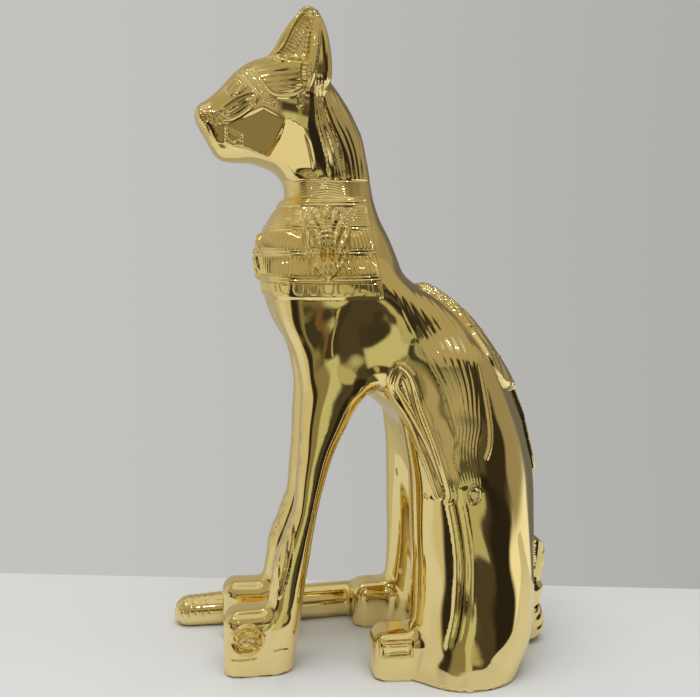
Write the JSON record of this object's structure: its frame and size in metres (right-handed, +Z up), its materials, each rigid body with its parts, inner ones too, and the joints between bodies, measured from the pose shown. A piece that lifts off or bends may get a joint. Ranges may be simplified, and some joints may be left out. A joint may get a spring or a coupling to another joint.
{
  "type": "seated cat goddess figure",
  "caption": "Upright seated cat in gilded casting, slender, with large hollow ears, a broad collar, back reliefs and a tail laid forward along its side.",
  "frame": {"origin": "on the ground under the middle of the figure's bounding box", "axes": "+Z up, the cat looks along -Y, its left side is +X, its tail lies along its right side (-X)"},
  "size_m": [0.1068, 0.166, 0.2709],
  "materials": {
    "gold": "mirror-polished gold plating"
  },
  "bodies": {
    "root": {"bastet_cat": "gold"}
  },
  "joints": []
}
